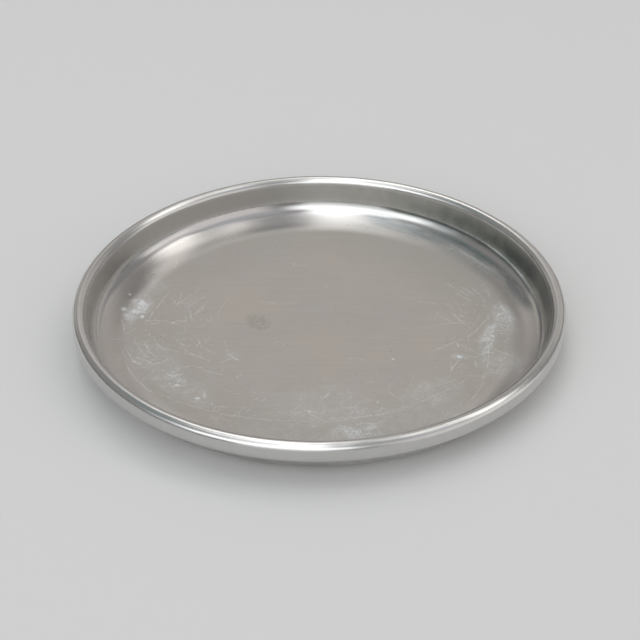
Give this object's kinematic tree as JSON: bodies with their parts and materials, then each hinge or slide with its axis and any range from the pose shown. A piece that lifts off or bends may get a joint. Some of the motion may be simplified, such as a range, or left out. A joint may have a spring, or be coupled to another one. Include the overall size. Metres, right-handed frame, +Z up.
{
  "type": "round baking pan",
  "caption": "Shallow round aluminium baking pan with a flat floor, a rounded corner, a leaning wall and a tall rolled rim closed over a steel wire ring.",
  "frame": {"origin": "centre of the floor's underside, on the surface that the pan stands on", "axes": "+Z up along the pan's centre line, out of its open side; +X towards the butted ends of the rim wire; -Y towards the picture's camera"},
  "size_m": [0.305, 0.305, 0.0285],
  "materials": {
    "aluminium_sheet": "pressed sheet, bright and satin on the rim and wall, dull and finely scratched on the floor",
    "steel_wire": "drawn and galvanised wire"
  },
  "bodies": {
    "root": {"pan_shell": "aluminium_sheet", "rim_wire": "steel_wire"}
  },
  "joints": []
}
